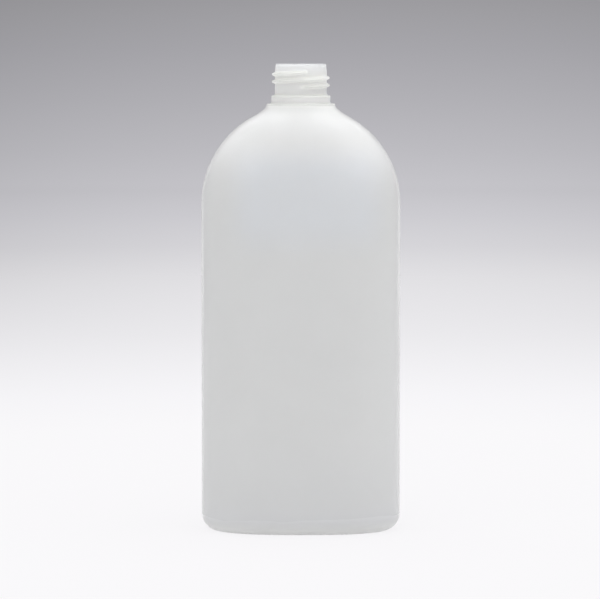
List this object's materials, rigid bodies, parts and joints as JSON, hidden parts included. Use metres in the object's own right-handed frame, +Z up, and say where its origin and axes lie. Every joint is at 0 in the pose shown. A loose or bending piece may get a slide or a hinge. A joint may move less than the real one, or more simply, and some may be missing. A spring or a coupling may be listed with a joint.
{
  "type": "oval plastic bottle",
  "caption": "Tall oval blown bottle of translucent white plastic with round shoulders and a threaded screw neck, open at the top, for holding toiletries or household liquids.",
  "frame": {"origin": "middle of the footprint, on the plane that the bottle stands on", "axes": "+Z up through the neck, +X across the broad front, and the broad front faces -Y"},
  "size_m": [0.0818, 0.051, 0.1917],
  "materials": {
    "bottle_plastic": "satin, milky and translucent, uncoloured"
  },
  "bodies": {
    "root": {"bottle": "bottle_plastic"}
  },
  "joints": []
}
